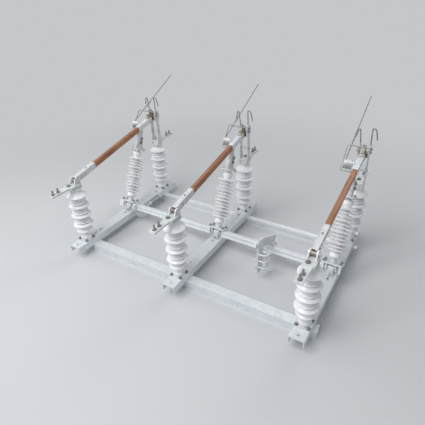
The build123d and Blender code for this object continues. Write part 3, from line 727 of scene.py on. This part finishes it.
def on_whip(x, distance):
    """A place along a pole's whip, which leans a little outwards."""
    along = WHIP_ALONG + distance * math.cos(WHIP_RISE)
    across = WHIP_ACROSS - WHIP_LEAN * distance / WHIP_LENGTH
    return on_blade(x, along, WHIP_UP + distance * math.sin(WHIP_RISE), across)


for pole, x in POLES.items():
    body = "blade_" + pole
    corners = [on_blade(x, *corner) for corner in LOOP_CORNERS]
    loop = rod_piece(f"smooth_loop_{pole}", [corners], body, LOOP_BEND, LOOP_RADIUS)
    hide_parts(f"loop_rod_{pole}")
    clay = bmesh.new()
    lug_outline = [(STUD_ALONG + px, STUD_UP + py * LUG_SHARE) for px, py in rounded_square(0.013, 0.004)]
    prism(clay, lug_outline, LUG_INNER, LUG_OUTER)
    place = Matrix.Translation(on_blade(x, 0)) @ BLADE_TURN
    lug = made(f"loop_lug_{pole}", clay, (casting,), place)
    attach(lug, body)
    shank = [on_whip(x, 0), on_whip(x, WHIP_LENGTH - 0.001)]
    whip = rod_piece(f"thin_whip_{pole}", [shank], body, 0.0, WHIP_RADIUS, spring_rod)
    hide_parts(f"whip_{pole}")
    ferrule = [on_whip(x, distance) for distance in FERRULE_SPAN]
    rod_piece(f"whip_ferrule_{pole}", [ferrule], body, 0.0, FERRULE_RADIUS)
    clay = bmesh.new()
    spin(clay, BUSHING, 40)
    place = turn_to(on_blade(x, WHIP_ALONG, WHIP_UP, -0.018), -RIGHT)
    block = made(f"whip_bushing_{pole}", clay, (plated,), place, 50)
    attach(block, body)
print("loops, whips and bushings:", 3 * len(POLES))

# %% [markdown]
# The pipe would hang in three U-bolts. Each is a chain of straight legs and a half circle,
# and the lowest one has a bright half shell that would grip the pipe.


# %% Pipe clamps
def arc(radius, start, stop, steps):
    """Points round a middle, between two angles in degrees."""
    angles = [math.radians(start + (stop - start) * step / steps) for step in range(steps + 1)]
    return [(radius * math.cos(angle), radius * math.sin(angle)) for angle in angles]


PIN_PLACE = on_shaft(0.0, -0.211, 0.067)
PIPE_X, U_FOOT_X, U_REACH, U_RADIUS = 0.4842, 0.448, 0.0352, 0.0064
U_DROPS = (0.070, 0.126, 0.182)
SHELL_INNER, SHELL_OUTER, SHELL_HALF = 0.0262, 0.0298, 0.014
u_chains = []
for drop in U_DROPS:
    level = PIN_PLACE.z - drop
    bend = [(PIPE_X + px, PIN_PLACE.y + py, level) for px, py in arc(U_REACH, -90, 90, 14)]
    legs = [(U_FOOT_X, PIN_PLACE.y + side * U_REACH, level) for side in (-1, 1)]
    u_chains.append([legs[0], *bend, legs[1]])
u_bolts = rod_piece("bright_u_bolts", u_chains, "pipe_coupling", 0.0, U_RADIUS, plated)
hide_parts("pipe_u_bolts")
clay = bmesh.new()
shell = arc(SHELL_INNER, -80, 80, 16)[::-1] + arc(SHELL_OUTER, -80, 80, 16)
prism(clay, shell, -U_DROPS[2] - SHELL_HALF, -U_DROPS[2] + SHELL_HALF)
grip = made("pipe_shell", clay, (plated,), Matrix.Translation((PIPE_X, PIN_PLACE.y, PIN_PLACE.z)))
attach(grip, "pipe_coupling")
print("pipe clamps:", len(u_chains))

# %% [markdown]
# ## Sleeves at the hinges
#
# Each blade ends in a plated trough, square at its end, whose two cheeks reach down to the
# pin. Its side is one outline that is given a thickness twice, its back a plate between them,
# and a small bevel catches the light on every edge. A ring and a sunk disc on top stand for
# the hole in the sleeve, painted dark as its shade; they, the pin's bush and the seat under it
# are plain turned and flat shapes, so the same makers serve.


# %% Trough
def soften(piece, width):
    """Gives every sharp edge a small bevel."""
    edges = piece.modifiers.new("Softened edges", "BEVEL")
    edges.width, edges.segments, edges.limit_method = width, 2, "ANGLE"


SLEEVE_START, SLEEVE_STOP, SLEEVE_TOP, SLEEVE_HOLE = 0.006, 0.211, 0.024, 0.133
SLEEVE_INNER, SLEEVE_OUTER, SLEEVE_BACK = 0.015, 0.018, 0.003
HOLE_RIM = [(0.0052, -0.001), (0.0072, -0.001), (0.0072, 0.0012), (0.0052, 0.0012)]
HOLE_SHADE_DISC = [(0, -0.001), (0.0052, -0.001), (0.0052, 0.0004), (0, 0.0004)]
BUSH = [(0.0087, -0.0145), (0.0135, -0.0145), (0.0135, 0.0145), (0.0087, 0.0145)]
SEAT_Y, SEAT_LOW, SEAT_HIGH, SEAT_STRETCH = -0.0515, 0.600, 0.611, 1.12
cheek = [(SLEEVE_START, SLEEVE_TOP), (SLEEVE_STOP, SLEEVE_TOP), (SLEEVE_STOP, -0.021), (0.028, -0.021)]
cheek = cheek[::-1] + arc(0.0145, 120, 320, 10)
back = [(SLEEVE_START, SLEEVE_TOP - SLEEVE_BACK), (SLEEVE_STOP, SLEEVE_TOP - SLEEVE_BACK)]
back += [(SLEEVE_STOP, SLEEVE_TOP), (SLEEVE_START, SLEEVE_TOP)]
for pole, x in POLES.items():
    clay = bmesh.new()
    for inner, outer in ((-SLEEVE_OUTER, -SLEEVE_INNER), (SLEEVE_INNER, SLEEVE_OUTER)):
        prism(clay, cheek, inner, outer)
    prism(clay, back, -SLEEVE_INNER, SLEEVE_INNER)
    place = Matrix.Translation(on_blade(x, 0)) @ BLADE_TURN
    sleeve = made(f"hinge_trough_{pole}", clay, (plated,), place, 180)
    soften(sleeve, 0.0008)
    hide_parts(f"blade_sleeve_{pole}")
    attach(sleeve, "blade_" + pole)
    # The ring and sunk disc mark the sleeve's hole and are painted dark as the shade inside it.
    clay = bmesh.new()
    spin(clay, HOLE_RIM, 28, closed=True)
    spin(clay, HOLE_SHADE_DISC, 28)
    place = turn_to(on_blade(x, SLEEVE_HOLE, SLEEVE_TOP), BLADE_UP)
    hole_shade = made(f"sleeve_hole_shade_{pole}", clay, (painted_shade_bolt,), place)
    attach(hole_shade, "blade_" + pole)
    clay = bmesh.new()
    spin(clay, BUSH, 32, closed=True)
    bush = made(f"pin_bush_{pole}", clay, (contact,), turn_to(on_blade(x, 0), RIGHT))
    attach(bush, "blade_" + pole)
    clay = bmesh.new()
    prism(clay, rounded_square(0.0185, 0.002), SEAT_LOW, SEAT_HIGH)
    bmesh.ops.scale(clay, vec=(1, SEAT_STRETCH, 1), verts=clay.verts)
    seat = made(f"pin_seat_{pole}", clay, (casting,), Matrix.Translation((x, SEAT_Y, 0)))
    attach(seat, "base")
print("troughs:", len(POLES))

# %% [markdown]
# The jaw's uprights carry square contact plates on their outer faces, which show beyond the
# slimmer uprights. They are thin plates with a small bevel: upright prisms that one matrix
# lays along X.

# %% Jaw plates
PLATE_OUTLINE = [(0.902, 0.826), (0.962, 0.826), (0.962, 0.891), (0.902, 0.891)]
PLATE_INNER, PLATE_OUTER = 0.0362, 0.0405
ALONG_X = Matrix(((0, 0, 1, 0), (1, 0, 0, 0), (0, 1, 0, 0), (0, 0, 0, 1)))
for pole, x in POLES.items():
    clay = bmesh.new()
    for inner, outer in ((-PLATE_OUTER, -PLATE_INNER), (PLATE_INNER, PLATE_OUTER)):
        prism(clay, PLATE_OUTLINE, inner, outer)
    place = Matrix.Translation((x, 0, 0)) @ ALONG_X
    cheeks = made(f"contact_cheeks_{pole}", clay, (plated,), place, 180)
    soften(cheeks, 0.0009)
    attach(cheeks, "base")
print("jaw plates:", 2 * len(POLES))

# %% [markdown]
# ## Slots of the struts
#
# Rolled strut has a slot between two inturned lips. The solids leave it wide, so narrow lips
# are added here as plain strips along X, level with the strut's outer face.

# %% Lips
PITCH, MEMBER_END, JOURNAL_HALF = POLES["right"], 0.9904, 0.050
SHAFT_RUNS = [(-PITCH - 0.098, -PITCH - JOURNAL_HALF), (-PITCH + JOURNAL_HALF, -JOURNAL_HALF)]
SHAFT_RUNS += [(JOURNAL_HALF, PITCH - JOURNAL_HALF), (PITCH + JOURNAL_HALF, PITCH + 0.066)]
MEMBER_BANDS, SHAFT_BANDS = ((0.012, 0.0282), (0.0318, 0.048)), ((-0.013, -0.0015), (0.0015, 0.013))
LIPS = {
    "member_lips": ("base", [(-MEMBER_END, MEMBER_END)], 0.910, MEMBER_BANDS, 0.005, ALONG_X),
    "shaft_lips": ("shaft", SHAFT_RUNS, -0.025, SHAFT_BANDS, 0.004, SHAFT_FRAME @ ALONG_X),
}
for name, (body, runs, face_y, bands, depth, place) in LIPS.items():
    clay = bmesh.new()
    for start, stop in runs:
        for low_z, high_z in bands:
            outline = [(face_y, low_z), (face_y, high_z), (face_y + depth, high_z), (face_y + depth, low_z)]
            prism(clay, outline, start, stop)
    strips = made(name, clay, (strut,), place, 180)
    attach(strips, body)
print("lips:", ", ".join(LIPS))

# %% [markdown]
# ## Bolts and nuts
#
# A switch like this is held by dozens of hexagon fasteners. One tree stands a washer, a
# chamfered hexagon and, where asked, a bolt end on every point of a mesh; the direction,
# size and free end of each come from attributes that the points carry.

# %% Fastener tree
BOLT_SIZES = {"Across corners": 0.87, "Height": 0.62, "Washer radius": 1.1, "Washer thickness": 0.17}
bolts, given = start_tree("Hexagon fasteners", BOLT_SIZES, {"Seed": 4})


def disc(vertices, radius, depth, middle, top=None):
    """A cylinder or cone of the tree, its middle at a height."""
    sizes = {"Vertices": vertices, "Radius Top": top or radius, "Radius Bottom": radius, "Depth": depth}
    shape = put(bolts, "GeometryNodeMeshCone", sizes).outputs["Mesh"]
    lift = put(bolts, "ShaderNodeCombineXYZ", {"Z": middle}).outputs[0]
    return put(bolts, "GeometryNodeTransform", {"Geometry": shape, "Translation": lift}).outputs[0]


STRAIGHT_SHARE, CHAMFER_SHARE, TOP_SHARE, FULL_TURN = 0.86, 0.14, 0.9, 6.283
corners, thickness = given["Across corners"], given["Washer thickness"]
straight = maths(bolts, "MULTIPLY", given["Height"], STRAIGHT_SHARE)
narrow = maths(bolts, "MULTIPLY", corners, TOP_SHARE)
washer = disc(20, given["Washer radius"], thickness, 0.0)
hexagon = disc(6, corners, straight, thickness)
cone_depth = maths(bolts, "MULTIPLY", given["Height"], CHAMFER_SHARE)
chamfer = disc(6, corners, cone_depth, maths(bolts, "ADD", thickness, straight), narrow)
head = put(bolts, "GeometryNodeJoinGeometry")
for shape in (washer, hexagon, chamfer):
    bolts.links.new(shape, head.inputs[0])
bolt_end = disc(14, 0.5, 1.0, 0.0)
direction = put(bolts, "GeometryNodeInputNamedAttribute", {"Name": "direction"}, data_type="FLOAT_VECTOR")
width = put(bolts, "GeometryNodeInputNamedAttribute", {"Name": "width"}, data_type="FLOAT")
free = put(bolts, "GeometryNodeInputNamedAttribute", {"Name": "free_end"}, data_type="FLOAT")
aim = put(bolts, "FunctionNodeAlignRotationToVector", {"Vector": direction.outputs[0]}, axis="Z")
chance = put(bolts, "FunctionNodeRandomValue", {"Seed": given["Seed"]}, data_type="FLOAT")
angle = maths(bolts, "MULTIPLY", chance.outputs[1], FULL_TURN)
about = put(bolts, "ShaderNodeCombineXYZ", {"Z": angle})
turned = put(bolts, "FunctionNodeRotateRotation", {"Rotation": aim.outputs[0]}, rotation_space="LOCAL")
bolts.links.new(about.outputs[0], turned.inputs["Rotate By"])
across = width.outputs[0]
stretch = put(bolts, "ShaderNodeCombineXYZ", {"X": across, "Y": across, "Z": free.outputs[0]})


def stand(shape, turn, scale):
    """One copy of a shape on every point of the mesh."""
    inputs = {"Points": given["Geometry"], "Instance": shape, "Rotation": turn, "Scale": scale}
    return put(bolts, "GeometryNodeInstanceOnPoints", inputs)


heads = stand(head.outputs[0], turned.outputs[0], across)
ends = stand(bolt_end, aim.outputs[0], stretch.outputs[0])
all_of_them = put(bolts, "GeometryNodeJoinGeometry")
for shape in (heads, ends):
    bolts.links.new(shape.outputs[0], all_of_them.inputs[0])
finish_tree(bolts, all_of_them.outputs[0], given["Material"])
print("fastener tree has", len(bolts.nodes), "nodes")

# %% [markdown]
# Each list below says where a fastener sits, which way it points, the bolt's diameter and
# how far its end stands out. Lists are kept by body, because bolts ride on what they hold.

# %% Where the fasteners go
FOOT_BOLT, MEMBER_BOLTS = 0.037, ((0.0, 0.0), (0.931, 0.032))
BEARING_BOLT, BEARING_BASE = 0.040, 0.008
PAD_BOLTS, CAP_BOLT, EAR_FACE = (0.190, 0.190 - 0.04445), (-0.010, 0.042), 0.032
UPRIGHT_FACE, UPRIGHT_BOLT_Z, PLATE_BOLTS = 0.036, POST_TOP + 0.130, ((-0.022, 0.846), (-0.010, 0.866))
SADDLE_BOLT, ARM_BOLT, ARM_PLATE_BASE = (0.028, 0.056), (0.042, 0.030), ARM_PLATE_TOP - 0.009
ARM_CHEEK_BOLTS, SLEEVE_BOLTS, COVER_BOLT = (0.560, 0.592), (0.052, 0.084), (0.925, -0.002)
STRAP_BOLT, STRAP_SCREW = (0.9165, 0.0502), (0.964, 0.0745)
STRAP_SLANT = BLADE_UP * 0.037 - BLADE_DIR * 0.0406
LEVER_X, CLAMP_BOLT, CLAMP_FACE, COUPLING_FACE_X = 0.440, (0.038, 0.036), 0.033, 0.446
places = {(body, finish): [] for body in frame["bodies"] for finish in ("zinc", "dark")}


def bolt(body, spot, way, width=0.012, free=0.0, finish="zinc"):
    """Adds one fastener to a body's list of one finish."""
    places[body, finish].append((Vector(spot), Vector(way).normalized(), width, free))


for pole, x in POLES.items():
    for y in (HINGE_POST_Y, JAW_POST_Y):
        for dx in (-FOOT_BOLT, FOOT_BOLT):
            for dy in (-FOOT_BOLT, FOOT_BOLT):
                bolt("base", (x + dx, y + dy, DECK + FOOT_THICKNESS), UP, 0.012, 0.013, "dark")
    for y, reach in MEMBER_BOLTS:
        for dx in (-reach, reach):
            bolt("base", (x + dx, y, DECK), UP, 0.012)
    for dy in (-BEARING_BOLT, BEARING_BOLT):
        bolt("base", (x, SHAFT.y + dy, DECK + BEARING_BASE), UP, 0.012, 0.014)
    for side, y in ((-1, HINGE_POST_Y), (1, JAW_POST_Y)):
        for out in PAD_BOLTS:
            bolt("base", (x, y + side * out, PAD_TOP), UP, 0.013, 0.034, "dark")
        bolt("base", (x + CAP_BOLT[0], y + side * CAP_BOLT[1], PAD_TOP), UP, 0.014, 0.004, "dark")
    for side in (-1, 1):
        bolt("base", (x + side * EAR_FACE, HINGE.y, HINGE.z), RIGHT * side, 0.012)
        for dy, z in PLATE_BOLTS:
            bolt("base", (x + side * PLATE_OUTER, JAW_POST_Y + dy, z), RIGHT * side, 0.009, 0.010, "dark")
        bolt("base", (x + side * UPRIGHT_FACE, JAW_POST_Y, UPRIGHT_BOLT_Z), RIGHT * side, 0.012)
        bolt("base", (x + side * HORN_FOOT_X, HORN_Y, HORN_FOOT_Z), UP, 0.007)
        for way in (-1, 1):
            far, across = way * SADDLE_BOLT[0], side * SADDLE_BOLT[1]
            bolt("shaft", on_shaft(x, far, SADDLE_TOP, across), ARM_UP, 0.012, 0.016, "dark")
            far, across = way * ARM_BOLT[0], side * ARM_BOLT[1]
            bolt("shaft", on_shaft(x, far, ARM_PLATE_TOP, across), ARM_UP, 0.010, 0.013)
            bolt("shaft", on_shaft(x, far, ARM_PLATE_BASE, across), -ARM_UP, 0.010, 0.012)
        for place in [(along, 0.0) for along in SLEEVE_BOLTS] + [COVER_BOLT]:
            bolt("blade_" + pole, on_blade(x, *place, side * SLEEVE_OUTER), RIGHT * side, 0.009)
    for up in ARM_CHEEK_BOLTS:
        bolt("shaft", on_shaft(x, 0.008, up, 0.015), RIGHT, 0.013, 0.010, "dark")
    bolt("blade_" + pole, on_blade(x, *STRAP_BOLT), STRAP_SLANT, 0.010, 0.002, "dark")
    bolt("blade_" + pole, on_blade(x, *STRAP_SCREW), BLADE_UP, 0.009, 0.002, "dark")
for far in (-CLAMP_BOLT[0], CLAMP_BOLT[0]):
    for across in (-CLAMP_BOLT[1], CLAMP_BOLT[1]):
        bolt("shaft", on_shaft(LEVER_X, far, CLAMP_FACE, across), ARM_UP, 0.012, 0.016)
        bolt("shaft", on_shaft(LEVER_X, far, -CLAMP_FACE, across), -ARM_UP, 0.012, 0.014)
for drop in U_DROPS[1:]:
    for dy in (-U_REACH, U_REACH):
        spot = (COUPLING_FACE_X, PIN_PLACE.y + dy, PIN_PLACE.z - drop)
        bolt("pipe_coupling", spot, LEFT, 0.010, 0.020)
print({" ".join(key): len(found) for key, found in places.items()})

# %% Make the fasteners, one mesh for each body
# The dark finish gives painted shade to the bolts that sit in recesses.
BOLT_FINISHES = {"zinc": fastener, "dark": painted_shade_bolt}
SHORTEST_END = 0.001
for (body, finish), found in places.items():
    if not found:
        continue
    mesh = bpy.data.meshes.new(f"{finish}_bolts_{body}")
    mesh.from_pydata([spot for spot, *_ in found], [], [])
    for label, kind in (("direction", "FLOAT_VECTOR"), ("width", "FLOAT"), ("free_end", "FLOAT")):
        mesh.attributes.new(label, kind, "POINT")
    way, wide, free_end = (mesh.attributes[label].data for label in ("direction", "width", "free_end"))
    for number, (_, aimed, width_here, free_here) in enumerate(found):
        way[number].vector = aimed
        wide[number].value = width_here
        free_end[number].value = max(free_here, SHORTEST_END)
    piece = linked(mesh.name, mesh)
    baked(piece, bolts, {"Material": BOLT_FINISHES[finish]})
    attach(piece, body)
    print(piece.name, len(piece.data.polygons), "faces")

# %% [markdown]
# ## Camera, floor and light
#
# The camera stands where a fit to the photograph's edges put it. Its three directions are
# the columns of its matrix. The focal length follows from 388 pixels across a 425 picture.

# %% Camera
camera_data = bpy.data.cameras.new("Camera")
camera = linked("Camera", camera_data)
SENSOR, FOCAL_PIXELS, PICTURE_PIXELS = 36.0, 388.209, 425
camera_data.sensor_width = SENSOR
camera_data.lens = FOCAL_PIXELS / PICTURE_PIXELS * SENSOR
camera_data.clip_end = 60
CAMERA_PLACE = (1.3390, -1.6885, 1.9142)
right = Vector((0.8546389, 0.5181029, -0.0340855))
down = Vector((0.2479899, -0.4649854, -0.8498762))
forward = Vector((-0.4561726, 0.7178844, -0.5258789))
turn = Matrix((right, -down, -forward)).transposed()
camera.matrix_world = Matrix.Translation(CAMERA_PLACE) @ turn.to_4x4()
scene.camera = camera
print("lens", round(camera_data.lens, 2), "mm")

# %% [markdown]
# The floor near the switch is an ordinary pale surface that takes its shadow. Farther out
# the lamps no longer reach it, so for the camera it fades into the backdrop's own tone, and
# the same is done for mirror rays, so that metal reflects a pale room.

# %% Floor and backdrop
BACKDROP = (0.56, 0.57, 0.585, 1)
FAR, FADE_START, FADE_STOP, MIDDLE = 40, 1.4, 4.0, (0.0, 0.4, 0.0)
floor_mesh = bpy.data.meshes.new("Floor")
floor_corners = [(-FAR, -FAR, 0), (FAR, -FAR, 0), (FAR, FAR, 0), (-FAR, FAR, 0)]
floor_mesh.from_pydata(floor_corners, [], [(0, 1, 2, 3)])
floor = linked("Floor", floor_mesh)


def looked_at(tree):
    """1 for camera, mirror and glass rays, 0 for light on its way to the object."""
    rays = tree.nodes.new("ShaderNodeLightPath").outputs
    first = maths(tree, "MAXIMUM", rays["Is Camera Ray"], rays["Is Glossy Ray"])
    return maths(tree, "MAXIMUM", first, rays["Is Transmission Ray"])


floor_paint = bpy.data.materials.new("Pale floor")
floor_paint.use_nodes = True
tree = floor_paint.node_tree
shade = tree.nodes["Principled BSDF"]
shade.inputs["Base Color"].default_value = BACKDROP
shade.inputs["Roughness"].default_value = 0.9
shade.inputs["Specular IOR Level"].default_value = 0.1
where = put(tree, "ShaderNodeTexCoord").outputs["Object"]
distance = put(tree, "ShaderNodeVectorMath", {0: where, 1: MIDDLE}, operation="DISTANCE").outputs["Value"]
fade_inputs = {"Value": distance, "From Min": FADE_START, "From Max": FADE_STOP}
fade = put(tree, "ShaderNodeMapRange", fade_inputs, interpolation_type="SMOOTHSTEP")
share = maths(tree, "MULTIPLY", fade.outputs[0], looked_at(tree))
glow = put(tree, "ShaderNodeEmission", {"Color": BACKDROP, "Strength": 1.0})
either = put(tree, "ShaderNodeMixShader", {0: share, 1: shade.outputs[0], 2: glow.outputs[0]})
tree.links.new(either.outputs[0], tree.nodes["Material Output"].inputs["Surface"])
floor_mesh.materials.append(floor_paint)
print("floor fades between", FADE_START, "and", FADE_STOP, "m")

# %% World
world = bpy.data.worlds.new("Studio")
scene.world = world
world.use_nodes = True
tree = world.node_tree
soft = tree.nodes["Background"]
soft.inputs["Color"].default_value = (0.93, 0.96, 1.0, 1)
soft.inputs["Strength"].default_value = 0.36
pale = put(tree, "ShaderNodeBackground", {"Color": BACKDROP, "Strength": 1.0})
either = put(tree, "ShaderNodeMixShader", {0: looked_at(tree), 1: soft.outputs[0], 2: pale.outputs[0]})
tree.links.new(either.outputs[0], tree.nodes["World Output"].inputs["Surface"])
print("backdrop tone", BACKDROP[:3])

# %% [markdown]
# The light comes from above and in front and throws hardly any hard shadow, as under a
# bright, hazy sky. One large area lamp does most of it, a weak one lifts the left side, and
# a third draws the far edges.


# %% Lamps
def lamp(name, spot, energy, size, aim=(0, 0.4, 0.4)):
    """A square soft lamp that looks at a point of the switch."""
    data = bpy.data.lights.new(name, "AREA")
    data.energy = energy
    data.size = size
    piece = linked(name, data)
    piece.location = spot
    piece.rotation_mode = "QUATERNION"
    piece.rotation_quaternion = (Vector(aim) - Vector(spot)).to_track_quat("-Z", "Y")


lamp("Key", (-0.7, -3.0, 5.0), 275, 4.0)
lamp("Fill", (-3.8, -0.8, 2.4), 40, 3.0)
lamp("Back", (0.8, 4.6, 3.2), 45, 2.4)
print("lamps:", len(bpy.data.lights))
scene.view_settings.view_transform = "Standard"
